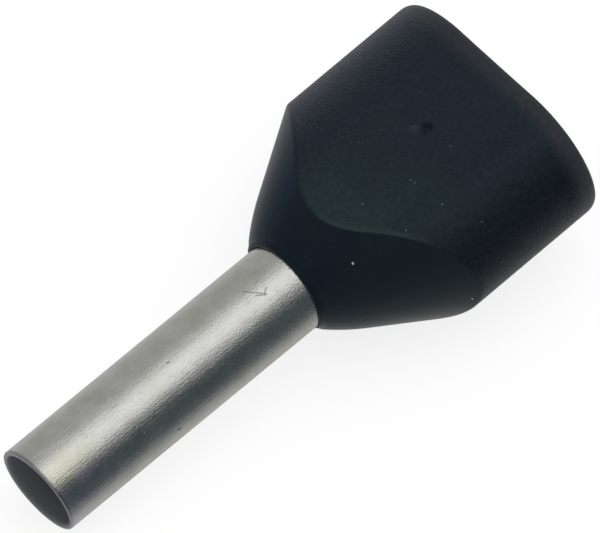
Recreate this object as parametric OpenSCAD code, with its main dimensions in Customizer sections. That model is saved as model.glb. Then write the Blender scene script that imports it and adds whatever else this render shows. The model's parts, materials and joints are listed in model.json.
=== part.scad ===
// Twin-wire ferrule: a thin tinned sleeve with a flared end, held in a moulded
// insulating collar that opens from a round neck to an oblong mouth for two wires.
// Each piece is drawn standing on the sleeve's tip, along +Z, with the collar's
// width along Y and its height along X, and is then laid down with its mouth to +X.

/* [Sleeve] */
// Outside diameter of the sleeve
sleeve_d = 2.3; // [2:0.05:2.8]
// Wall of the sleeve
sleeve_wall = 0.15; // [0.13:0.01:0.25]
// Length of sleeve that stands out of the collar
pin_length = 8; // [6:0.5:12]
// Length of the flared end that sits inside the collar
flare_length = 1.4; // [0.8:0.1:2]
// Angle of the flared end to the axis
flare_angle = 16; // [10:1:22]
// Rounding of both edges at the tip
tip_edge_r = 0.06; // [0.02:0.01:0.06]

/* [Collar] */
// Width of the mouth, across both wires
collar_width = 6.75; // [6:0.1:9]
// Height of the mouth, across one wire
collar_height = 4.2; // [3.8:0.1:5]
// Length of the collar from the neck's end to the mouth
collar_length = 7; // [6:0.5:12]
// Wall of the barrel and of the cone behind it
collar_wall = 0.35; // [0.25:0.05:0.6]
// Wall at the thin end of the neck
neck_wall = 0.15; // [0.1:0.01:0.25]
// Length of straight bore at the thin end of the neck, in front of the sleeve's flare
neck_land = 0.1; // [0.05:0.01:0.14]
// Angle of the neck to the axis at its thin end
neck_start_angle = 43; // [38:1:50]
// Angle of the neck's cone to the axis
neck_angle = 31; // [27:1:35]
// Radius that bends the neck from the first angle to the second
neck_round_r = 6; // [2:0.5:8]
// Angle of the funnel inside the collar to the axis
funnel_angle = 39; // [36:1:45]
// Rounding of the outer edge of the mouth
mouth_edge_r = 0.06; // [0.03:0.01:0.15]

/* [Gate mark] */
// Diameter of the dish left in the top face by the moulding gate
gate_dish_d = 0.36; // [0.2:0.02:0.6]
// Depth of the dish
gate_dish_depth = 0.06; // [0.02:0.01:0.1]
// Distance of the dish from the mouth
gate_from_mouth = 2.2; // [1:0.1:3]
// Height of the small pip beside the dish
gate_pip_h = 0.04; // [0.02:0.01:0.08]

/* [Fit] */
// Gap between the sleeve and its seat in the collar
seat_gap = 0.01; // [0.005:0.005:0.03]

/* [Hidden] */
$fn = 128;

// What cuts runs past the faces that it cuts by this much
cut_margin = 1;

// Sleeve, from the tip at z = 0
sleeve_r = sleeve_d / 2;
bore_r = sleeve_r - sleeve_wall;
seat_r = sleeve_r + seat_gap;
flare_start = pin_length + neck_land;
flare_end = flare_start + flare_length;

// Collar outside
total_length = pin_length + collar_length;
half_width = collar_width / 2;
half_height = collar_height / 2;
neck_r = seat_r + neck_wall;

// Round of the neck: its centre, and where it runs out into the cone, as [radius, height]
round_centre = [neck_r, pin_length] + neck_round_r * [-cos(neck_start_angle), sin(neck_start_angle)];
cone_start = round_centre + neck_round_r * [cos(neck_angle), -sin(neck_angle)];

// Where the neck's cone runs out into the flat side of the collar
heel = cone_start[1] + (half_height - cone_start[0]) / tan(neck_angle);

// At rest the ferrule leans on the tip's lower edge and on the heel of its flat side
lean_run = heel - tip_edge_r;
lean_rise = half_height - sleeve_r + tip_edge_r;
rest_tilt = atan2(lean_rise, lean_run) - asin(tip_edge_r / norm([lean_run, lean_rise]));

// Box of the leaning ferrule: its lowest point, and its ends along X
low_z = heel * sin(rest_tilt) - half_height * cos(rest_tilt);
tip_x = tip_edge_r * cos(rest_tilt) - (sleeve_r - tip_edge_r) * sin(rest_tilt) - tip_edge_r;
mouth_x = (total_length - mouth_edge_r) * cos(rest_tilt)
    + (half_height - mouth_edge_r) * sin(rest_tilt) + mouth_edge_r;
mid_x = (tip_x + mouth_x) / 2;

// Lays a standing piece down, leaning as it rests, over the middle of its box
module laid_down() {
    translate([-mid_x, 0, -low_z]) rotate([0, 90 - rest_tilt, 0]) children();
}

// Radius of the collar's seat for the flare at a height, or of a face inset from it
function flare_r(inset, z) = seat_r - inset / cos(flare_angle) + (z - flare_start) * tan(flare_angle);

// Ends of the flare on a face of the sleeve that lies inset from its seat, as [radius, height]
function flare_bend(inset) = [seat_r - inset, flare_start + inset * tan(flare_angle / 2)];
function flare_rim(inset) = [flare_r(inset, flare_end), flare_end];

// Tube wall with both edges rounded at the tip, flared at the far end and cut square there
module sleeve_profile() {
    polygon([
        [bore_r, tip_edge_r],
        [sleeve_r, tip_edge_r],
        flare_bend(seat_gap),
        flare_rim(seat_gap),
        flare_rim(seat_gap + sleeve_wall),
        flare_bend(seat_gap + sleeve_wall)
    ]);
    translate([bore_r + tip_edge_r, 0]) square([sleeve_wall - 2 * tip_edge_r, 2 * tip_edge_r]);
    for (r = [bore_r + tip_edge_r, sleeve_r - tip_edge_r])
        translate([r, tip_edge_r]) circle(tip_edge_r);
}

// Half section of the barrel from z = 0 to the mouth, with its outer edge rounded there
module barrel_profile() {
    square([half_height, total_length - mouth_edge_r]);
    square([half_height - mouth_edge_r, total_length]);
    translate([half_height - mouth_edge_r, total_length - mouth_edge_r]) circle(mouth_edge_r);
}

// Barrel: two round sides joined by a flat slab
module barrel() {
    side = half_width - half_height;
    for (s = [-1, 1])
        translate([0, s * side, 0]) rotate_extrude() barrel_profile();
    rotate([90, 0, 0]) linear_extrude(2 * side, center = true) {
        barrel_profile();
        mirror([1, 0]) barrel_profile();
    }
}

// Oblong outline with fully round sides
module oblong(width, height) {
    side = (width - height) / 2;
    for (s = [-1, 1])
        translate([0, s * side]) circle(height / 2);
    square([height, 2 * side], center = true);
}

// Round cone that grows from r at z = 0 along an angle to the axis
module cone(r, length, angle) {
    cylinder(r1 = r, r2 = r + length * tan(angle), h = length);
}

// The neck outside: a round that starts steep, then the long cone that the barrel cuts off
module neck() {
    rotate_extrude() intersection() {
        translate(round_centre) circle(neck_round_r);
        translate([0, pin_length]) square([cone_start[0], cone_start[1] - pin_length]);
    }
    translate([0, 0, cone_start[1]]) cone(cone_start[0], total_length - cone_start[1], neck_angle);
}

// Straight land and flared seat that hold the sleeve
module sleeve_seat() {
    cylinder(r = seat_r, h = flare_start);
    translate([0, 0, flare_start]) cone(seat_r, flare_length, flare_angle);
}

// The oblong room for both wires, closed down by the funnel, one wall inside the neck
module wire_room() {
    depth = total_length + cut_margin;
    funnel_r = flare_r(0, flare_end);
    inner_r = cone_start[0] + (flare_end - cone_start[1]) * tan(neck_angle) - collar_wall / cos(neck_angle);
    intersection() {
        linear_extrude(depth) oblong(collar_width - 2 * collar_wall, collar_height - 2 * collar_wall);
        translate([0, 0, flare_end]) cone(funnel_r, depth - flare_end, funnel_angle);
        translate([0, 0, flare_end]) cone(inner_r, depth - flare_end, neck_angle);
    }
}

// Dish in the top face where the plastic was let in
module gate_dish() {
    rim_r = gate_dish_d / 2;
    ball_r = (rim_r * rim_r + gate_dish_depth * gate_dish_depth) / (2 * gate_dish_depth);
    translate([-half_height - ball_r + gate_dish_depth, 0, total_length - gate_from_mouth])
        sphere(ball_r);
}

// Pip of plastic at the dish's edge, on the side of the neck
module gate_pip() {
    translate([-half_height, 0, total_length - gate_from_mouth - gate_dish_d / 2 - gate_pip_h])
        sphere(gate_pip_h);
}

module crimp_sleeve() color([0.75, 0.75, 0.72]) laid_down() {
    rotate_extrude() sleeve_profile();
}

module insulating_collar() color([0.12, 0.14, 0.16]) laid_down() {
    difference() {
        union() {
            intersection() {
                barrel();
                neck();
            }
            gate_pip();
        }
        sleeve_seat();
        wire_room();
        gate_dish();
    }
}

crimp_sleeve();
insulating_collar();
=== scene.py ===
import json
import math

import bmesh
import bpy
from mathutils import Matrix, Vector


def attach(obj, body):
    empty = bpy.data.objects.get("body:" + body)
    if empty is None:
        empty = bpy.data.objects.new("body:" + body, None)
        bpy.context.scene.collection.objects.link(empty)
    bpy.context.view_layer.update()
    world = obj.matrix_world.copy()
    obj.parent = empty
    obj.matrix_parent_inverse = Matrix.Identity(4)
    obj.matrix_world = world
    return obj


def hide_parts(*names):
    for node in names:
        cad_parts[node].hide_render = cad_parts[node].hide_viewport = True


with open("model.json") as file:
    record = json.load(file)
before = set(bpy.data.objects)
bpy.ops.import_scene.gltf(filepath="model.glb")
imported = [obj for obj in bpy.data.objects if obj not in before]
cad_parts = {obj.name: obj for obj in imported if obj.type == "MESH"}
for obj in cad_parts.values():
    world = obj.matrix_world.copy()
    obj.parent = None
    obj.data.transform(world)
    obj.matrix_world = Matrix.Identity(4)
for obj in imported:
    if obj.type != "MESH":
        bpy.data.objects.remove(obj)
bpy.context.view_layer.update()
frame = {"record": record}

scene = bpy.context.scene
millimetre = 0.001


def node(tree, kind, inputs=None, **settings):
    made = tree.nodes.new(kind)
    for name, value in settings.items():
        setattr(made, name, value)
    for socket, value in (inputs or {}).items():
        if isinstance(value, bpy.types.NodeSocket):
            tree.links.new(value, made.inputs[socket])
        else:
            made.inputs[socket].default_value = value
    return made


def maths(tree, operation, *values):
    return node(tree, "ShaderNodeMath", dict(enumerate(values)), operation=operation).outputs[0]


def less(tree, whole, part):
    return maths(tree, "SUBTRACT", whole, part)


def added(tree, *values):
    total = values[0]
    for value in values[1:]:
        total = maths(tree, "ADD", total, value)
    return total


def times(tree, *values):
    product = values[0]
    for value in values[1:]:
        product = maths(tree, "MULTIPLY", product, value)
    return product


def vectors(tree, operation, *values):
    return node(tree, "ShaderNodeVectorMath", dict(enumerate(values)), operation=operation).outputs


def combined(tree, x, y=0.0, z=0.0):
    return node(tree, "ShaderNodeCombineXYZ", {"X": x, "Y": y, "Z": z}).outputs[0]


def separated(tree, vector):
    return node(tree, "ShaderNodeSeparateXYZ", {0: vector}).outputs


def scaled(tree, vector, factor):
    return node(tree, "ShaderNodeVectorMath", {0: vector, "Scale": factor}, operation="SCALE").outputs[0]


def mapped(tree, value, start, end, low, high, kind="LINEAR"):
    made = node(tree, "ShaderNodeMapRange", {
        "Value": value, "From Min": start, "From Max": end, "To Min": low, "To Max": high},
        interpolation_type=kind)
    return made.outputs[0]


def rise(tree, value, reach):
    # 0 at the first end of the reach and 1 at the other, in a straight line
    return mapped(tree, value, *reach, 0.0, 1.0)


def softRise(tree, value, reach):
    # the same, but easing out of 0 and into 1
    return mapped(tree, value, *reach, 0.0, 1.0, "SMOOTHSTEP")


def noise(tree, place, waves, detail=2.0, roughness=0.5):
    # about 0 to 1, with so many waves to a millimetre along X, Y and Z
    made = node(tree, "ShaderNodeTexNoise", {
        "Vector": vectors(tree, "MULTIPLY", place, waves)[0],
        "Scale": 1.0, "Detail": detail, "Roughness": roughness})
    return made.outputs["Fac"]


def seededNoise(tree, place, seed, size):
    made = node(tree, "ShaderNodeTexNoise", {
        "Vector": place, "W": seed, "Scale": maths(tree, "DIVIDE", 1.0, size), "Detail": 2.0},
        noise_dimensions="4D")
    return made.outputs["Fac"]


def swing(tree, texture, size):
    # makes a texture of 0 to 1 swing about 0
    return times(tree, less(tree, texture, 0.5), size)


def ramp(tree, factor, stops):
    made = node(tree, "ShaderNodeValToRGB", {"Fac": factor})
    points = made.color_ramp.elements
    points[0].position, points[0].color = stops[0][0], (*stops[0][1], 1)
    points[1].position, points[1].color = stops[-1][0], (*stops[-1][1], 1)
    for position, colour in stops[1:-1]:
        points.new(position).color = (*colour, 1)
    return made.outputs["Color"]


def blended(tree, factor, first, second, kind="MIX"):
    colours = [(*colour, 1) if isinstance(colour, tuple) else colour for colour in (first, second)]
    made = node(tree, "ShaderNodeMix", {0: factor, 6: colours[0], 7: colours[1]},
                data_type="RGBA", blend_type=kind)
    return made.outputs[2]


def bumped(tree, height):
    # the height is in micrometres
    return node(tree, "ShaderNodeBump", {"Strength": 1.0, "Distance": 1e-6, "Height": height}).outputs[0]


def newMaterial(name):
    made = bpy.data.materials.new(name)
    made.use_nodes = True
    made.node_tree.nodes.clear()
    return made, made.node_tree


def finishMaterial(tree, shader):
    node(tree, "ShaderNodeOutputMaterial", {"Surface": shader.outputs[0]})


# Both pieces are drawn in millimetres: X along the axis from the sleeve's tip to the mouth,
# Y across the mouth, Z up through its height.
pinLength = 8.0
overall = 15.0
entry = next(m for m in frame["record"]["mounts"] if m["name"] == "wire_entry")
along = Vector(entry["axis"]).normalized()
across = Vector((0, 1, 0))
tipAt = Vector(entry["pos_m"]) - along * overall * millimetre
laid = Matrix.Translation(tipAt) @ Matrix((along, across, along.cross(across))).transposed().to_4x4()
toMetres = laid @ Matrix.Scale(millimetre, 4)


def ownCoordinates(tree):
    coordinates = node(tree, "ShaderNodeTexCoord")
    turned = node(tree, "ShaderNodeMapping", {
        "Vector": coordinates.outputs["Object"],
        "Location": laid.translation,
        "Rotation": laid.to_euler(),
        "Scale": (millimetre, millimetre, millimetre),
    }, vector_type="TEXTURE")
    place = turned.outputs["Vector"]
    return place, separated(tree, place)


def fromAxis(tree, parts):
    squares = added(tree, times(tree, parts["Y"], parts["Y"]), times(tree, parts["Z"], parts["Z"]))
    return maths(tree, "POWER", squares, 0.5)


def meshObject(name, points, faces):
    mesh = bpy.data.meshes.new(name)
    mesh.from_pydata(points, [], faces)
    made = bpy.data.objects.new(name, mesh)
    scene.collection.objects.link(made)
    return made


def newTree(name, sockets):
    tree = bpy.data.node_groups.new(name, "GeometryNodeTree")
    face = tree.interface
    face.new_socket("Geometry", in_out="INPUT", socket_type="NodeSocketGeometry")
    for label, kind in sockets.items():
        face.new_socket(label, in_out="INPUT", socket_type="NodeSocket" + kind)
    face.new_socket("Material", in_out="INPUT", socket_type="NodeSocketMaterial")
    face.new_socket("Geometry", in_out="OUTPUT", socket_type="NodeSocketGeometry")
    return tree, node(tree, "NodeGroupInput").outputs


def finishTree(tree, geometry, given):
    whole = node(tree, "GeometryNodeRealizeInstances", {"Geometry": geometry})
    dressed = node(tree, "GeometryNodeSetMaterial", {
        "Geometry": whole.outputs[0], "Material": given["Material"]})
    node(tree, "NodeGroupOutput", {"Geometry": dressed.outputs[0]})
    return tree


def shifted(tree, geometry, lift, shift=None):
    # moves each point along its normal by lift, and by the vector shift
    offset = scaled(tree, node(tree, "GeometryNodeInputNormal").outputs[0], lift)
    if shift:
        offset = vectors(tree, "ADD", offset, shift)[0]
    return node(tree, "GeometryNodeSetPosition", {"Geometry": geometry, "Offset": offset}).outputs[0]


def grown(base, tree, values, name):
    # evaluates the tree on the base, and lays the result where the piece rests, in metres
    modifier = base.modifiers.new(tree.name, "NODES")
    modifier.node_group = tree
    sockets = {item.name: item.identifier for item in tree.interface.items_tree if item.in_out == "INPUT"}
    for label, value in values.items():
        modifier[sockets[label]] = value
    depsgraph = bpy.context.evaluated_depsgraph_get()
    mesh = bpy.data.meshes.new_from_object(base.evaluated_get(depsgraph), depsgraph=depsgraph)
    base.modifiers.remove(modifier)
    bpy.data.objects.remove(base)
    mesh.name = name
    mesh.transform(toMetres)
    work = bmesh.new()
    work.from_mesh(mesh)
    bmesh.ops.recalc_face_normals(work, faces=work.faces)
    work.to_mesh(mesh)
    work.free()
    mesh.shade_smooth()
    piece = bpy.data.objects.new(name, mesh)
    scene.collection.objects.link(piece)
    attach(piece, "root")
    print(name, len(mesh.polygons), "faces")
    return piece


sleeve = {
    "radius": 1.19,
    "wall": 0.15,
    "gap": 0.01,
    "flareStart": 8.1,
    "flareLength": 1.4,
    "flareAngle": math.radians(16),
    "outerEdge": 0.035,
    "innerEdge": 0.05,
    "burnish": 0.12,
    # how far the tip is set back, and how much further for each millimetre along Y and Z
    "tipSlant": (0.02, -0.012, -0.03),
    "slantRun": 1.2,
    # where the sleeve's axis lies at the collar, and how much further for each millimetre towards the tip
    "askewAt": (0, -0.036, -0.016),
    "askewSlope": (0, 0.0079, 0.0035),
    "ripple": 0.0012,
    "rippleSize": 0.7,
    "around": 300,
    "rowSpacing": 0.065,
    "seed": 4,
}
# start and end of each scratch, as distance from the tip and degrees round the axis, and its width
scratches = [
    ((6.74, 85), (7.09, 106), 0.035),
    ((7.09, 106), (7.24, 101), 0.03),
    ((6.9, 101), (7.12, 108), 0.02),
    ((4.16, 94), (4.2, 94.5), 0.045),
    ((3.46, 169), (3.52, 171), 0.06),
    ((1.9, 148), (1.94, 148), 0.03),
    ((1.25, 145), (1.28, 145), 0.03),
]
# textures as waves to a millimetre along X, Y and Z, heights in micrometres, and reaches in millimetres,
# apart from those of beads and pits, which are shares of their cells
tin = {
    "broadWaves": (0.7, 4, 4),
    "broadHeight": 4.0,
    "fineWaves": (1.3, 20, 20),
    "fineHeight": 4.2,
    "grainWaves": (20, 26, 26),
    "grainHeight": 8.0,
    "cloudWaves": (2.2, 2.2, 2.2),
    "beadsPerMillimetre": 9.0,
    "beadChoice": (0.6, 0.62),
    "beadReach": (0.28, 0.05),
    "beadHeight": 4.0,
    "pitsPerMillimetre": 2.6,
    "pitReach": (0.09, 0.0),
    "pitDepth": 4.0,
    "cutDepth": 6.0,
    "cutShade": 0.42,
    "shade": (0.92, 1.08),
    "dull": (0.75, 0.75, 0.70),
    "bright": (0.80, 0.80, 0.77),
    "roughness": (0.17, 0.23),
    "stainWaves": (2, 4, 4),
    "stainSwing": 0.7,
    "stainSpan": (-1.2, 0.4),
    "stainReach": (2.2, 0.1),
    "stainStrength": 0.9,
    "rimColour": (0.26, 0.255, 0.31),
    "rimReach": (0.08, 0.03),
    "rimStrength": 0.7,
    "boreColour": (0.115, 0.122, 0.14),
    "boreRoughness": 0.5,
    "boreEdge": (-0.02, 0.02),
}
# heat and handling tint the tip: purple on the front side, straw on top
stain = [
    (0.0, (1.0, 1.0, 1.0)), (0.08, (1.0, 0.92, 1.06)), (0.25, (1.0, 0.9, 1.08)),
    (0.38, (0.99, 0.98, 0.84)), (0.6, (1.0, 0.99, 0.88)), (0.75, (1.0, 1.0, 1.0)),
]


def onSleeve(x, degrees):
    turn = math.radians(degrees)
    return Vector((x, sleeve["radius"] * math.cos(turn), sleeve["radius"] * math.sin(turn)))


def stroke(tree, place, start, end, width):
    # 1 along the middle of a straight scratch, and 0 beyond its width
    run = end - start
    toStart = vectors(tree, "SUBTRACT", place, start)[0]
    share = maths(tree, "DIVIDE", vectors(tree, "DOT_PRODUCT", toStart, run)[1], run.length_squared)
    nearest = scaled(tree, run, rise(tree, share, (0.0, 1.0)))
    return softRise(tree, vectors(tree, "DISTANCE", toStart, nearest)[1], (width, 0.0))


def insideBore(tree, parts):
    # 1 on the inner side of the wall, and 0 on its outer side
    middle = sleeve["radius"] - sleeve["wall"] / 2
    flare = times(tree, maths(tree, "MAXIMUM", less(tree, parts["X"], sleeve["flareStart"]), 0.0),
                  math.tan(sleeve["flareAngle"]))
    return rise(tree, less(tree, added(tree, flare, middle), fromAxis(tree, parts)), tin["boreEdge"])


def tinnedCopper():
    material, tree = newMaterial("tinnedCopper")
    place, parts = ownCoordinates(tree)
    broadLines = noise(tree, place, tin["broadWaves"])
    fineLines = noise(tree, place, tin["fineWaves"], 3.0, 0.6)
    grain = noise(tree, place, tin["grainWaves"], 2.0, 0.6)
    cloud = noise(tree, place, tin["cloudWaves"], 5.0)

    # lines and grain with a bead in some cells, pits in others, and scratches
    beadCells, pitCells = (node(tree, "ShaderNodeTexVoronoi", {"Vector": place, "Scale": tin[count]}).outputs
                           for count in ("beadsPerMillimetre", "pitsPerMillimetre"))
    beads = times(tree, rise(tree, beadCells["Color"], tin["beadChoice"]),
                  softRise(tree, beadCells["Distance"], tin["beadReach"]))
    pits = softRise(tree, pitCells["Distance"], tin["pitReach"])
    cuts = added(tree, *(stroke(tree, place, onSleeve(*start), onSleeve(*end), width)
                         for start, end, width in scratches))
    raised = added(tree, times(tree, broadLines, tin["broadHeight"]),
                   times(tree, fineLines, tin["fineHeight"]),
                   times(tree, grain, tin["grainHeight"]), times(tree, beads, tin["beadHeight"]))
    sunk = added(tree, times(tree, pits, tin["pitDepth"]), times(tree, cuts, tin["cutDepth"]))

    colour = ramp(tree, cloud, [(0.35, tin["dull"]), (0.65, tin["bright"])])
    front = added(tree, parts["Y"], swing(tree, noise(tree, place, tin["stainWaves"]), tin["stainSwing"]))
    stained = blended(tree, 1.0, colour, ramp(tree, rise(tree, front, tin["stainSpan"]), stain), "MULTIPLY")
    nearTip = times(tree, softRise(tree, parts["X"], tin["stainReach"]), tin["stainStrength"])
    colour = blended(tree, nearTip, colour, stained)
    rim = times(tree, rise(tree, parts["X"], tin["rimReach"]), tin["rimStrength"])
    colour = blended(tree, rim, colour, tin["rimColour"])
    shade = less(tree, mapped(tree, added(tree, grain, fineLines, cloud), 1.0, 2.0, *tin["shade"]),
                 times(tree, rise(tree, cuts, (0.0, 1.0)), tin["cutShade"]))
    colour = scaled(tree, colour, shade)

    # the bore is duller than the drawn outside
    inside = insideBore(tree, parts)
    roughness = mapped(tree, inside, 0.0, 1.0, mapped(tree, cloud, 0.3, 0.7, *tin["roughness"]),
                       tin["boreRoughness"])
    shader = node(tree, "ShaderNodeBsdfPrincipled", {
        "Base Color": blended(tree, inside, colour, tin["boreColour"]),
        "Metallic": less(tree, 1.0, inside),
        "Roughness": roughness,
        "Normal": bumped(tree, less(tree, raised, sunk))})
    finishMaterial(tree, shader)
    return material


def arc(centre, radii, start, end, steps=6):
    turns = [start + (end - start) * k / steps for k in range(steps + 1)]
    return [(centre[0] + radii[0] * math.cos(t), centre[1] + radii[1] * math.sin(t)) for t in turns]


def sleeveSection():
    # closed section as (x, radius): round the tip from the bore outwards, out to the flare and back
    s = sleeve
    seat, bore = s["radius"] + s["gap"], s["radius"] - s["wall"]
    slope, bend = math.tan(s["flareAngle"]), math.tan(s["flareAngle"] / 2)

    def flareAt(inset):
        start = (s["flareStart"] + inset * bend, seat - inset)
        rim = (s["flareStart"] + s["flareLength"],
               seat - inset / math.cos(s["flareAngle"]) + s["flareLength"] * slope)
        return start, rim

    outerBend, outerRim = flareAt(s["gap"])
    innerBend, innerRim = flareAt(s["gap"] + s["wall"])
    inner = arc((s["burnish"], bore + s["innerEdge"]), (s["burnish"], s["innerEdge"]),
                1.5 * math.pi, math.pi)
    outer = arc((s["outerEdge"], s["radius"] - s["outerEdge"]), (s["outerEdge"],) * 2,
                math.pi, math.pi / 2)
    return inner + outer + [outerBend, outerRim, innerRim, innerBend]


def finelySpaced(points, spacing):
    fine = []
    for (x0, r0), (x1, r1) in zip(points, points[1:] + points[:1]):
        steps = max(1, round(math.hypot(x1 - x0, r1 - r0) / spacing))
        fine += [(x0 + (x1 - x0) * k / steps, r0 + (r1 - r0) * k / steps) for k in range(steps)]
    return fine


def drawnTubeTree():
    tree, given = newTree("drawnTube", {
        "Ring Points": "Int", "Tip Slant": "Vector", "Slant Run": "Float",
        "Askew At Collar": "Vector", "Askew Slope": "Vector",
        "Ripple Depth": "Float", "Ripple Size": "Float", "Seed": "Int"})

    # the section is swept round a unit circle that stands across the axis
    circle = node(tree, "GeometryNodeCurvePrimitiveCircle", {
        "Resolution": given["Ring Points"], "Radius": 1.0})
    ring = node(tree, "GeometryNodeTransform", {
        "Geometry": circle.outputs["Curve"], "Rotation": (0, math.pi / 2, 0)})
    swept = node(tree, "GeometryNodeCurveToMesh", {
        "Curve": ring.outputs[0], "Profile Curve": given["Geometry"]})
    place = node(tree, "GeometryNodeInputPosition").outputs[0]
    parts = separated(tree, place)

    # the tip is cut aslant, which fades out along the sleeve
    onTip = combined(tree, 1.0, parts["Y"], parts["Z"])
    fade = mapped(tree, parts["X"], 0.0, given["Slant Run"], 1.0, 0.0, "SMOOTHSTEP")
    slant = times(tree, vectors(tree, "DOT_PRODUCT", onTip, given["Tip Slant"])[1], fade)
    toCollar = less(tree, pinLength, parts["X"])
    askew = vectors(tree, "MULTIPLY_ADD", given["Askew Slope"], combined(tree, toCollar, toCollar, toCollar),
                    given["Askew At Collar"])[0]
    lift = swing(tree, seededNoise(tree, place, given["Seed"], given["Ripple Size"]), given["Ripple Depth"])
    shift = vectors(tree, "ADD", combined(tree, slant), askew)[0]
    return finishTree(tree, shifted(tree, swept.outputs[0], lift, shift), given)


def makeSleeve(material):
    # X of the section runs along the axis, Y is measured from the unit circle that it is swept round
    section = bpy.data.curves.new("sleeveSection", "CURVE")
    section.dimensions = "3D"
    points = finelySpaced(sleeveSection(), sleeve["rowSpacing"])
    line = section.splines.new("POLY")
    line.points.add(len(points) - 1)
    for point, (x, r) in zip(line.points, points):
        point.co = (x, r - 1.0, 0, 1)
    line.use_cyclic_u = True
    base = bpy.data.objects.new("sleeveSection", section)
    scene.collection.objects.link(base)
    piece = grown(base, drawnTubeTree(), {
        "Ring Points": sleeve["around"], "Tip Slant": sleeve["tipSlant"], "Slant Run": sleeve["slantRun"],
        "Askew At Collar": sleeve["askewAt"], "Askew Slope": sleeve["askewSlope"],
        "Ripple Depth": sleeve["ripple"], "Ripple Size": sleeve["rippleSize"], "Seed": sleeve["seed"],
        "Material": material}, "crimpSleeve")
    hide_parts("crimp_sleeve")


collar = {
    "halfWidth": 3.39,
    "halfHeight": 2.1,
    "wall": 0.35,
    "neckRadius": 1.31,
    "neckStartAngle": math.radians(43),
    "neckAngle": math.radians(31),
    "neckRound": 6.0,
    "funnelAngle": math.radians(39),
    "mouthRound": (0.22, 0.1),
    "innerBevel": 0.03,
    "creaseSoftness": 0.03,
    "lip": 0.07,
    "lipSpread": math.radians(42),
    "lipEdge": 0.1,
    "lipFlat": 0.005,
    "landInset": 0.05,
    "skinDepth": 0.002,
    "skinSize": 0.22,
    "seed": 9,
}
# how many rows and columns of faces each stretch of the collar has; the crease and the gate have closer ones
collarMesh = {
    "lipRows": 5,
    "neckRows": 30,
    "creaseRows": 20,
    "creaseReach": 0.15,
    "shoulderRows": 26,
    "gateRows": 40,
    "gateReach": 0.5,
    "barrelRows": 18,
    "mouthRows": 8,
    "roomRows": 14,
    "funnelRows": 10,
    "seatRows": 6,
    "columns": 350,
    "gateColumns": 50,
    "gateAngle": 0.26,
}
gate = {
    "dish": Vector((12.59, -0.17, 2.1)),
    "dishRadius": 0.17,
    "dishDepth": 0.04,
    "pip": Vector((12.33, 0.03, 2.1)),
    "pipRadius": 0.16,
    "pipHeight": 0.045,
    "surround": 0.4,
    "raggedSize": 0.09,
    "raggedSwing": 0.08,
    "tornSize": 0.08,
    "tornHeight": 0.075,
}
# colours, each with the reach over which it comes in: along X, across Y, or in depth below the neck's cone
moulding = {
    "neck": (0.0016, 0.0078, 0.0146),
    "barrel": (0.0034, 0.0126, 0.0236),
    "coneReach": (9.0, 9.1),
    "barrelDepth": (0.0, 0.06),
    "neckFront": (0.0048, 0.0112, 0.016),
    "neckFrontAcross": (-0.9, -1.7),
    "backBlend": 0.85,
    "backBlendAcross": (0.2, 1.3),
    # a green tone with a painted reflection on the top face beside the crease
    "greenHighlight": (0.0062, 0.0255, 0.0275),
    "greenHighlightDepth": (1.9, 0.25),
    "greenHighlightBack": (1.4, 0.3),
    "greenHighlightFront": (-2.6, -1.1),
    "wanderWaves": (0.8, 0.8, 0.8),
    "wander": 1.2,
    # painted highlight along the crease
    "creaseHighlight": (0.015, 0.036, 0.036),
    "creaseHighlightIn": (0.002, 0.02),
    "creaseHighlightOut": (0.13, 0.02),
    "creaseHighlightBack": (0.15, -0.4),
    "creaseHighlightFront": (-2.4, -1.8),
    # painted sheen towards the mouth's edge
    "mouthSheen": (0.032, 0.033, 0.041),
    "mouthSheenReach": (overall - 0.75, overall - 0.1),
    "mouthSheenStrength": 0.8,
    "pip": (0.013, 0.026, 0.034),
    "sheared": (0.0014, 0.0078, 0.0155),
    "shearedSpecular": 0.1,
    "spotEdge": (1.1, 0.7),
    "spotWaves": (8, 8, 8),
    "pipSwing": 0.3,
    "shearedSwing": 0.09,
    "mottleWaves": (8, 8, 8),
    "skinWaves": (17, 17, 17),
    "frontSkin": 0.45,
    "frontSkinAcross": (-2.6, -1.4),
    "sheenTint": (1.0, 0.95, 1.0, 1),
    "sheenRoughness": 0.25,
    "refraction": 1.49,
    # the values on the neck and on the barrel
    "mottle": (0.003, 0.02),
    "skinHeight": (8.0, 60.0),
    "roughness": (0.34, 0.43),
    "specular": (0.2, 0.32),
    "sheen": (0.13, 0.16),
}
# painted shade and painted light on the barrel, from its front side to its back: darker in front, and
# lightest behind
sideShadingAcross = (-3.4, 3.4)
sideShading = [(0.06, (0.3, 0.42, 0.5)), (0.2, (1, 1, 1)), (0.78, (1, 1, 1)), (1.0, (1.7, 1.65, 1.55))]


def oblongRadius(angle, halfWidth, halfHeight):
    side = halfWidth - halfHeight
    c, s = abs(math.cos(angle)), abs(math.sin(angle))
    if c * halfHeight <= s * side:
        return halfHeight / s
    return side * c + math.sqrt(halfHeight ** 2 - (side * s) ** 2)


def neckShape():
    # the neck starts with a round and runs out into a cone, which starts at coneStart
    bend, startAngle, angle = collar["neckRound"], collar["neckStartAngle"], collar["neckAngle"]
    centre = (pinLength + bend * math.sin(startAngle), collar["neckRadius"] - bend * math.cos(startAngle))
    coneStart = centre[0] - bend * math.sin(angle)
    coneRadius = centre[1] + bend * math.cos(angle)

    def radiusAt(x):
        if x < coneStart:
            return centre[1] + math.sqrt(bend ** 2 - (centre[0] - max(x, pinLength)) ** 2)
        return coneRadius + (x - coneStart) * math.tan(angle)

    return radiusAt, coneStart, coneRadius


def belowCone(tree, parts):
    # how far the surface lies below the neck's cone, carried on over the barrel
    coneStart, coneRadius = neckShape()[1:]
    widening = times(tree, less(tree, parts["X"], coneStart), math.tan(collar["neckAngle"]))
    depth = less(tree, added(tree, widening, coneRadius), fromAxis(tree, parts))
    return times(tree, depth, rise(tree, parts["X"], moulding["coneReach"]))


def neckToBarrel(tree, barrel, quality):
    return mapped(tree, barrel, 0.0, 1.0, *moulding[quality])


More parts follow.
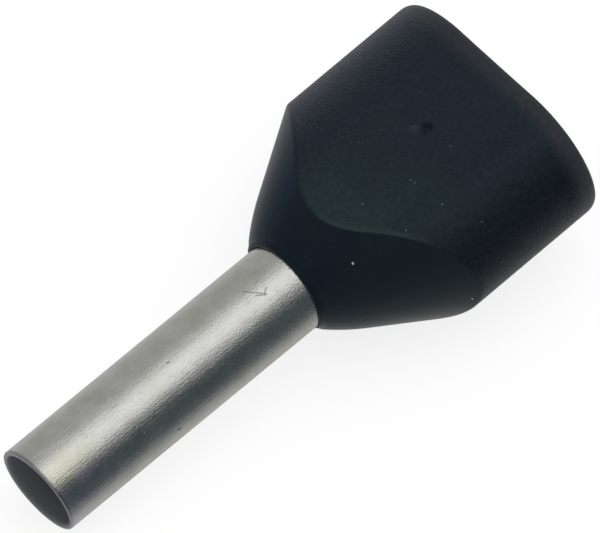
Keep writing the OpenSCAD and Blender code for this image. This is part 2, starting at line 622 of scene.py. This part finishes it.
def gateSpot(tree, place, centre, radius, raggedness):
    # 1 on a round spot with a ragged edge, and 0 beyond it
    ragged = swing(tree, noise(tree, place, moulding["spotWaves"], 3.0), raggedness)
    away = added(tree, vectors(tree, "DISTANCE", place, centre)[1], ragged)
    return softRise(tree, away, tuple(radius * edge for edge in moulding["spotEdge"]))


def mouldedColour(tree, place, parts, barrel, depth, sheared):
    m, y = moulding, parts["Y"]

    # blue-black, and towards the back of the neck it takes the barrel's lighter colour
    neck = blended(tree, softRise(tree, y, m["neckFrontAcross"]), m["neck"], m["neckFront"])
    towardsBack = times(tree, softRise(tree, y, m["backBlendAcross"]), m["backBlend"])
    colour = blended(tree, maths(tree, "MAXIMUM", barrel, towardsBack), neck, m["barrel"])

    # greener and lighter on the top face beside the crease: a green tone with a painted reflection of the
    # soft box
    wander = swing(tree, noise(tree, place, m["wanderWaves"]), m["wander"])
    greenHighlighted = times(tree, barrel, softRise(tree, added(tree, depth, wander), m["greenHighlightDepth"]),
                    rise(tree, y, m["greenHighlightBack"]), rise(tree, y, m["greenHighlightFront"]))
    colour = blended(tree, greenHighlighted, colour, m["greenHighlight"])
    # painted shade on the barrel's front side and painted light on its back
    sideShaded = blended(tree, 1.0, colour, ramp(tree, rise(tree, y, sideShadingAcross), sideShading), "MULTIPLY")
    colour = blended(tree, barrel, colour, sideShaded)

    # painted highlight along the crease, on its front part
    creaseHighlight = times(tree, rise(tree, depth, m["creaseHighlightIn"]), softRise(tree, depth, m["creaseHighlightOut"]),
                   rise(tree, y, m["creaseHighlightBack"]), rise(tree, y, m["creaseHighlightFront"]))
    colour = blended(tree, creaseHighlight, colour, m["creaseHighlight"])
    # painted sheen, lighter towards the mouth's edge where the barrel rounds off
    mouthSheened = times(tree, softRise(tree, parts["X"], m["mouthSheenReach"]), m["mouthSheenStrength"])
    colour = blended(tree, mouthSheened, colour, m["mouthSheen"])

    # the sheared gate is a darker disc with a paler torn pip beside it
    pip = gateSpot(tree, place, gate["pip"], gate["pipRadius"], m["pipSwing"])
    colour = blended(tree, pip, colour, m["pip"])
    colour = blended(tree, sheared, colour, m["sheared"])
    mottle = swing(tree, noise(tree, place, m["mottleWaves"], 3.0, 0.7), neckToBarrel(tree, barrel, "mottle"))
    return vectors(tree, "ADD", colour, mottle)[0]


def blackMoulding():
    m = moulding
    material, tree = newMaterial("blackMoulding")
    place, parts = ownCoordinates(tree)
    depth = belowCone(tree, parts)
    barrel = rise(tree, depth, m["barrelDepth"])

    # the barrel has the fine matt texture of a spark-eroded mould, and the neck is smoother
    height = times(tree, noise(tree, place, m["skinWaves"], 3.0, 0.7),
                   neckToBarrel(tree, barrel, "skinHeight"),
                   mapped(tree, parts["Y"], *m["frontSkinAcross"], m["frontSkin"], 1.0, "SMOOTHSTEP"))
    sheared = gateSpot(tree, place, gate["dish"], gate["dishRadius"], m["shearedSwing"])
    shader = node(tree, "ShaderNodeBsdfPrincipled", {
        "Base Color": mouldedColour(tree, place, parts, barrel, depth, sheared),
        "Roughness": neckToBarrel(tree, barrel, "roughness"),
        "IOR": m["refraction"],
        "Specular IOR Level": less(tree, neckToBarrel(tree, barrel, "specular"),
                                   times(tree, sheared, m["shearedSpecular"])),
        "Sheen Weight": neckToBarrel(tree, barrel, "sheen"),
        "Sheen Roughness": m["sheenRoughness"],
        "Sheen Tint": m["sheenTint"],
        "Normal": bumped(tree, height)})
    finishMaterial(tree, shader)
    return material


def softMin(a, b, softness):
    blend = max(0.0, 1 - abs(a - b) / softness)
    return min(a, b) - softness * blend * blend / 4


def spread(start, end, count):
    return [start + (end - start) * (k + 1) / count for k in range(count)]


def outerRadius(x, angle):
    radiusAt = neckShape()[0]
    oblong = oblongRadius(angle, collar["halfWidth"], collar["halfHeight"])
    return softMin(radiusAt(x), oblong, collar["creaseSoftness"])


def seatRadius(x, angle):
    # the seat follows the sleeve, which stands a little askew
    outward = Vector((0, math.cos(angle), math.sin(angle)))
    askew = Vector(sleeve["askewAt"]) + Vector(sleeve["askewSlope"]) * (pinLength - x)
    flare = max(0.0, x - sleeve["flareStart"]) * math.tan(sleeve["flareAngle"])
    return sleeve["radius"] + sleeve["gap"] + flare + askew.dot(outward)


def collarColumn(angle):
    # closed section of the wall at an angle round the axis, as (x, radius), from the lip round the mouth
    c, m = collar, collarMesh
    radiusAt, coneStart, coneRadius = neckShape()
    outer = oblongRadius(angle, c["halfWidth"], c["halfHeight"])
    inner = oblongRadius(angle, c["halfWidth"] - c["wall"], c["halfHeight"] - c["wall"])
    crease = coneStart + (outer - coneRadius) / math.tan(c["neckAngle"])
    off = abs(math.remainder(angle, math.pi))
    front = pinLength - c["lip"] * math.exp(-(off / c["lipSpread"]) ** 2)
    near, dense = m["creaseReach"], m["gateReach"]
    gateAt = gate["dish"].x

    # the thin lip at the sleeve, the neck, the crease, the barrel with closer rows at the gate, the mouth
    lipRadius = seatRadius(front, angle) + c["lipFlat"]
    rows = arc((front + c["lipEdge"], lipRadius), (c["lipEdge"], c["neckRadius"] - lipRadius),
               math.pi, math.pi / 2, m["lipRows"])
    neckRows = (spread(front + c["lipEdge"], crease - near, m["neckRows"])
                + spread(crease - near, crease + near, m["creaseRows"]))
    rows += [(x, softMin(radiusAt(x), outer, c["creaseSoftness"])) for x in neckRows]
    mouthStart = overall - c["mouthRound"][0]
    barrelRows = (spread(crease + near, gateAt - dense, m["shoulderRows"])
                  + spread(gateAt - dense, gateAt + dense, m["gateRows"])
                  + spread(gateAt + dense, mouthStart, m["barrelRows"]))
    rows += [(x, outer) for x in barrelRows]
    rows += arc((mouthStart, outer - c["mouthRound"][1]), c["mouthRound"], math.pi / 2, 0, m["mouthRows"])[1:]
    roomEnd = overall - c["innerBevel"]
    rows += [(overall, inner + c["innerBevel"]), (roomEnd, inner)]

    # inside: the oblong room, the funnel, the flared seat and the straight land
    flareEnd = sleeve["flareStart"] + sleeve["flareLength"]
    funnelRadius = seatRadius(flareEnd, angle)
    funnelTop = flareEnd + (inner - funnelRadius) / math.tan(c["funnelAngle"])
    rows += [(x, inner) for x in spread(roomEnd, funnelTop, m["roomRows"])]
    rows += [(x, funnelRadius + (x - flareEnd) * math.tan(c["funnelAngle"]))
             for x in spread(funnelTop, flareEnd, m["funnelRows"])]
    rows += [(x, seatRadius(x, angle)) for x in spread(flareEnd, sleeve["flareStart"], m["seatRows"])]
    rows += [(pinLength + c["landInset"], seatRadius(pinLength, angle))]
    return rows


def columnAngles():
    # even steps round the collar, with closer ones across the gate mark
    top, half = math.pi / 2, collarMesh["gateAngle"]
    return (spread(top - half, top + half, collarMesh["gateColumns"])
            + spread(top + half, top - half + 2 * math.pi, collarMesh["columns"]))


def mouldedSkinTree():
    tree, given = newTree("mouldedSkin", {
        "Skin Depth": "Float", "Skin Size": "Float", "Seed": "Int",
        "Dish Place": "Vector", "Dish Radius": "Float", "Dish Depth": "Float",
        "Pip Place": "Vector", "Pip Radius": "Float", "Pip Height": "Float", "Surround": "Float"})
    place = node(tree, "GeometryNodeInputPosition").outputs[0]

    def waves(size, height):
        return swing(tree, seededNoise(tree, place, given["Seed"], size), height)

    def mound(centre, radius, height):
        away = vectors(tree, "DISTANCE", place, centre)[1]
        ragged = added(tree, away, waves(gate["raggedSize"], gate["raggedSwing"]))
        return mapped(tree, ragged, 0.0, radius, height, 0.0, "SMOOTHERSTEP")

    skin = waves(given["Skin Size"], given["Skin Depth"])
    torn = times(tree, mound(given["Dish Place"], given["Surround"], 1.0),
                 waves(gate["tornSize"], gate["tornHeight"]))
    pip = mound(given["Pip Place"], given["Pip Radius"], given["Pip Height"])
    dish = mound(given["Dish Place"], given["Dish Radius"], given["Dish Depth"])
    lift = less(tree, added(tree, skin, torn, pip), dish)
    return finishTree(tree, shifted(tree, given["Geometry"], lift), given)


def makeCollar(material):
    angles = columnAngles()
    columns = [collarColumn(angle) for angle in angles]
    count = len(columns[0])
    points = [(x, r * math.cos(angle), r * math.sin(angle))
              for angle, rows in zip(angles, columns) for x, r in rows]
    faces = []
    for k in range(len(angles)):
        this, after = k * count, (k + 1) % len(angles) * count
        for row in range(count):
            up = (row + 1) % count
            faces.append((this + row, after + row, after + up, this + up))
    base = meshObject("collarWall", points, faces)
    piece = grown(base, mouldedSkinTree(), {
        "Skin Depth": collar["skinDepth"], "Skin Size": collar["skinSize"], "Seed": collar["seed"],
        "Dish Place": gate["dish"], "Dish Radius": gate["dishRadius"], "Dish Depth": gate["dishDepth"],
        "Pip Place": gate["pip"], "Pip Radius": gate["pipRadius"], "Pip Height": gate["pipHeight"],
        "Surround": gate["surround"], "Material": material}, "insulatingCollar")
    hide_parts("insulating_collar")


dust = {
    "colour": (0.34, 0.35, 0.33, 1),
    "roughness": 0.7,
    "shape": (1.0, 0.4, 0.25),
    "clearance": 0.15,
    "crumpleScale": 40.0,
    "crumple": 0.03,
    "turns": (6.28, 6.28, 6.28),
    "seed": 3,
}
# specks of dust on the collar, as (distance from the tip, degrees round the axis, size)
specks = [
    (9.0, 131.6, 0.07), (12.64, 113.7, 0.024), (10.07, 106.2, 0.03), (11.44, 133.2, 0.026),
    (11.33, 113.9, 0.022), (11.36, 116.4, 0.018), (11.45, 58.6, 0.022), (11.16, 71.8, 0.02),
    (10.34, 131.8, 0.022), (8.33, 105.5, 0.016), (11.0, 184.3, 0.04), (11.95, 150.0, 0.02),
]


def dustTree():
    tree, given = newTree("dust", {"Seed": "Int"})
    size = node(tree, "GeometryNodeInputNamedAttribute", {"Name": "size"}, data_type="FLOAT")
    turn = node(tree, "FunctionNodeRandomValue", {
        "Min": (0, 0, 0), "Max": dust["turns"], "Seed": given["Seed"]}, data_type="FLOAT_VECTOR")
    speck = node(tree, "GeometryNodeMeshIcoSphere", {"Radius": 1.0, "Subdivisions": 3})
    strewn = node(tree, "GeometryNodeInstanceOnPoints", {
        "Points": given["Geometry"], "Instance": speck.outputs["Mesh"], "Rotation": turn.outputs["Value"],
        "Scale": scaled(tree, dust["shape"], size.outputs["Attribute"])})
    single = node(tree, "GeometryNodeRealizeInstances", {"Geometry": strewn.outputs[0]})
    place = node(tree, "GeometryNodeInputPosition").outputs[0]
    crumple = node(tree, "ShaderNodeTexNoise", {
        "Vector": place, "Scale": dust["crumpleScale"], "Detail": 1.0}).outputs["Fac"]
    return finishTree(tree, shifted(tree, single.outputs[0], swing(tree, crumple, dust["crumple"])), given)


def dustMaterial():
    material, tree = newMaterial("dust")
    shader = node(tree, "ShaderNodeBsdfPrincipled", {
        "Base Color": dust["colour"], "Roughness": dust["roughness"]})
    finishMaterial(tree, shader)
    return material


def makeDust():
    points = []
    for x, degrees, size in specks:
        angle = math.radians(degrees)
        r = outerRadius(x, angle) + dust["clearance"] * size
        points.append((x, r * math.cos(angle), r * math.sin(angle)))
    base = meshObject("specks", points, [])
    sizes = base.data.attributes.new("size", "FLOAT", "POINT")
    for k, speck in enumerate(specks):
        sizes.data[k].value = speck[2]
    grown(base, dustTree(), {"Seed": dust["seed"], "Material": dustMaterial()}, "dust")


makeSleeve(tinnedCopper())
makeCollar(blackMoulding())
makeDust()


studio = {
    "worldLevel": 0.85,
    "floorHalf": 1.5,
    "floorDrop": 1e-5,
    "floorGlow": 0.75,
    "glowLevel": 1.06,
    "tentRadius": 0.25,
    "tentHalf": 0.5,
    "tentSides": 96,
    "farReach": (-0.3, -0.06),
    # tint of the tent's lining, and what it changes by where the lining is darkest
    "lining": (1.0, 1.0, 0.985),
    "cooler": (-0.16, 0.13, 0.35),
    "coolBelow": 0.25,
    "boxAngles": (math.radians(66), math.radians(100)),
    "boxReach": (-0.05, 0.2),
    "boxHeight": 0.2,
    "boxLevel": 0.54,
    # watts to a square metre that make the box look white
    "boxWatts": 4,
}
# what the metal mirrors, by degrees round the axis from the front through straight up to the back:
# paper below, a dark card in front, the edges of the soft box overhead, grey wall behind
tentLevels = [
    (-180, 0.37), (-140, 0.52), (-118, 0.43), (-88, 0.45), (-66, 0.4), (-48, 0.3), (-36, 0.22),
    (-26, 0.11), (-20, 0.085), (-13, 0.095), (-8, 0.083), (-3, 0.067), (24, 0.063), (36, 0.095),
    (47, 0.27), (60, 0.66), (66, 0.66), (66.5, 0.2), (99.5, 0.2), (100, 0.66), (112, 0.48),
    (122, 0.38), (150, 0.345), (180, 0.37),
]
# the same beyond the tip's end
farLevels = [
    (-180, 0.3), (-60, 0.26), (-30, 0.2), (30, 0.2), (60, 0.38), (110, 0.38), (140, 0.3), (180, 0.3),
]


def setWorld():
    world = bpy.data.worlds.new("studio")
    scene.world = world
    world.use_nodes = True
    background = world.node_tree.nodes["Background"]
    background.inputs["Color"].default_value = (1, 1, 1, 1)
    background.inputs["Strength"].default_value = studio["worldLevel"]


def stagePiece(name, points, faces, material):
    made = meshObject(name, points, faces)
    made.data.materials.append(material)
    return made


def makeFloor():
    material, tree = newMaterial("paper")
    paper = node(tree, "ShaderNodeBsdfDiffuse", {"Color": (1, 1, 1, 1)})
    glow = node(tree, "ShaderNodeEmission", {"Color": (1, 1, 1, 1), "Strength": studio["glowLevel"]})
    lit = node(tree, "ShaderNodeMixShader", {
        0: studio["floorGlow"], 1: paper.outputs[0], 2: glow.outputs[0]})
    finishMaterial(tree, lit)
    h, z = studio["floorHalf"], -studio["floorDrop"]
    floor = stagePiece("floor", [(-h, -h, z), (h, -h, z), (h, h, z), (-h, h, z)], [(0, 1, 2, 3)], material)
    floor.visible_glossy = False


def liningTint(level):
    cool = max(0.0, 1 - level / studio["coolBelow"])
    return tuple(level * (plain + change * cool) for plain, change in zip(studio["lining"], studio["cooler"]))


def liningMaterial():
    material, tree = newMaterial("tentLining")
    parts = separated(tree, node(tree, "ShaderNodeTexCoord").outputs["Object"])
    turn = maths(tree, "ARCTAN2", parts["Z"], times(tree, parts["Y"], -1.0))
    share = added(tree, maths(tree, "DIVIDE", turn, 2 * math.pi), 0.5)
    around, farther = (
        ramp(tree, share, [((degrees + 180) / 360, liningTint(level)) for degrees, level in levels])
        for levels in (tentLevels, farLevels))
    fade = mapped(tree, parts["X"], *studio["farReach"], 1.0, 0.0, "SMOOTHSTEP")
    lining = blended(tree, fade, around, farther)
    finishMaterial(tree, node(tree, "ShaderNodeEmission", {"Color": lining, "Strength": 1.0}))
    return material


def makeTent():
    r, h, count = studio["tentRadius"], studio["tentHalf"], studio["tentSides"]
    points = [(x, -r * math.cos(t), r * math.sin(t)) for x in (-h, h)
              for t in (2 * math.pi * k / count for k in range(count))]
    faces = [(k, (k + 1) % count, count + (k + 1) % count, count + k) for k in range(count)]
    faces += [tuple(range(count)), tuple(range(count, 2 * count))]
    tent = stagePiece("tent", points, faces, liningMaterial())
    for ray in ("camera", "diffuse", "shadow", "transmission", "volume_scatter"):
        setattr(tent, "visible_" + ray, False)


def makeSoftBox():
    height = studio["boxHeight"]
    front, behind = (-height / math.tan(t) for t in studio["boxAngles"])
    left, right = studio["boxReach"]
    light = bpy.data.lights.new("softBox", "AREA")
    light.shape = "RECTANGLE"
    light.size, light.size_y = right - left, behind - front
    light.energy = studio["boxLevel"] * studio["boxWatts"] * light.size * light.size_y
    made = bpy.data.objects.new("softBox", light)
    made.location = ((left + right) / 2, (front + behind) / 2, height)
    scene.collection.objects.link(made)


def makeCamera():
    view = {
        "azimuth": math.radians(-45.44),
        "elevation": math.radians(56.46),
        "roll": math.radians(2.97),
        "distance": 0.45,
        "lens": 1138.6,
        "aim": Vector((0.00074, -0.000162, 0.002674)),
    }
    back = Vector((math.sin(view["azimuth"]) * math.cos(view["elevation"]),
                   -math.cos(view["azimuth"]) * math.cos(view["elevation"]),
                   math.sin(view["elevation"])))
    right = Vector((math.cos(view["azimuth"]), math.sin(view["azimuth"]), 0))
    upward = back.cross(right)
    turnedRight = right * math.cos(view["roll"]) + upward * math.sin(view["roll"])
    turnedUp = upward * math.cos(view["roll"]) - right * math.sin(view["roll"])
    data = bpy.data.cameras.new("camera")
    data.lens = view["lens"]
    data.sensor_width = 36
    data.clip_start, data.clip_end = 0.01, 20
    camera = bpy.data.objects.new("camera", data)
    scene.collection.objects.link(camera)
    turn = Matrix((turnedRight, turnedUp, back)).transposed().to_4x4()
    camera.matrix_world = Matrix.Translation(view["aim"] + back * view["distance"]) @ turn
    scene.camera = camera


setWorld()
makeFloor()
makeTent()
makeSoftBox()
makeCamera()
scene.view_settings.view_transform = "Standard"
print("studio ready")
